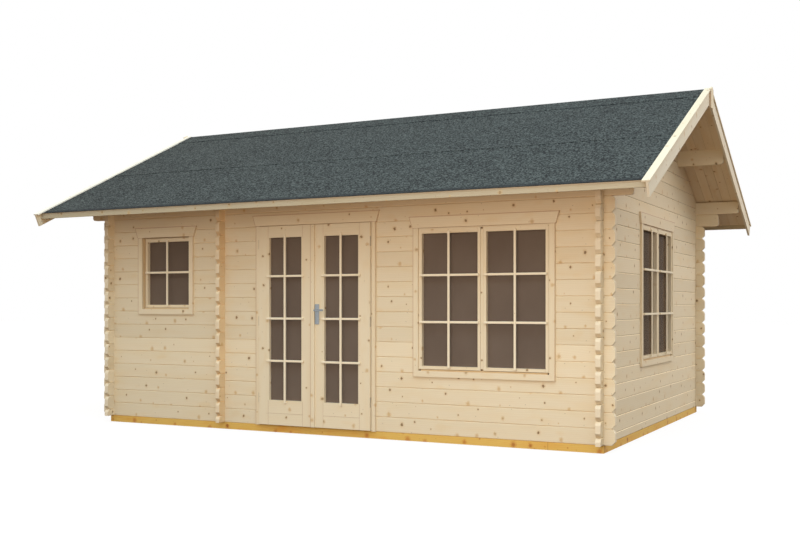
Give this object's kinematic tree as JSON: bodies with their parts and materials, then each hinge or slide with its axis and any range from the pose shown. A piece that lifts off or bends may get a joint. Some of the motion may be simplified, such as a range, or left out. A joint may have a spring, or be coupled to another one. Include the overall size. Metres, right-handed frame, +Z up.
{
  "type": "log cabin",
  "caption": "Log cabin with notched log corners, a felted saddle roof with wide overhangs, a glazed double door and casement windows.",
  "frame": {"origin": "on the ground under the middle of the roof", "axes": "+X along the front wall to its right end, -Y out of the front wall, +Z up"},
  "size_m": [6.3568, 4.9426, 3.3254],
  "materials": {
    "spruce_logs": "planed, untreated",
    "spruce_joinery": "planed, untreated",
    "spruce_boards": "planed, untreated",
    "impregnated_wood": "impregnated, matt",
    "roof_felt": "mineral granules",
    "window_glass": "clear",
    "grey_metal": "satin",
    "zinc_steel": "satin"
  },
  "bodies": {
    "cabin": {"foundation_beams": "impregnated_wood", "floor_bearers": "impregnated_wood", "floor_boards": "spruce_boards", "front_wall": "spruce_logs", "back_wall": "spruce_logs", "left_wall": "spruce_logs", "right_wall": "spruce_logs", "partition_wall": "spruce_logs", "ridge_purlin": "spruce_logs", "front_purlin": "spruce_logs", "back_purlin": "spruce_logs", "front_roof_boards": "spruce_boards", "back_roof_boards": "spruce_boards", "front_felt": "roof_felt", "back_felt": "roof_felt", "ridge_felt": "roof_felt", "fascia_boards": "spruce_joinery", "left_bargeboards": "spruce_joinery", "right_bargeboards": "spruce_joinery", "cap_strips": "spruce_joinery", "apex_covers": "spruce_joinery", "door_frame": "spruce_joinery", "door_casing": "spruce_joinery", "door_hinge_pins": "zinc_steel", "small_window_casing": "spruce_joinery", "small_window_frame": "spruce_joinery", "small_window_sash": "spruce_joinery", "small_window_glass": "window_glass", "front_window_casing": "spruce_joinery", "front_window_frame": "spruce_joinery", "front_window_sashes": "spruce_joinery", "front_window_glass": "window_glass", "side_window_casing": "spruce_joinery", "side_window_frame": "spruce_joinery", "side_window_sashes": "spruce_joinery", "side_window_glass": "window_glass"},
    "left_leaf": {"left_door_leaf": "spruce_joinery", "left_door_glass": "window_glass", "left_hinge_flags": "zinc_steel"},
    "right_leaf": {"right_door_leaf": "spruce_joinery", "right_door_glass": "window_glass", "right_hinge_flags": "zinc_steel", "door_cover_strip": "spruce_joinery", "lock_plates": "grey_metal"},
    "lever": {"lever_handle": "grey_metal"}
  },
  "joints": [
    {"name": "left_door_swing", "type": "hinge", "parent": "cabin", "child": "left_leaf", "pos_m": [-0.7455, -1.9325, 1.071], "axis": [0, 0, -1], "range_deg": [0, 110]},
    {"name": "right_door_swing", "type": "hinge", "parent": "cabin", "child": "right_leaf", "pos_m": [0.4835, -1.9325, 1.071], "axis": [0, 0, 1], "range_deg": [0, 110]},
    {"name": "lever_turn", "type": "hinge", "parent": "right_leaf", "child": "lever", "pos_m": [-0.081, -1.936, 1.176], "axis": [0, 1, 0], "range_deg": [0, 40], "stiffness_Nm_per_rad": 1.2}
  ]
}
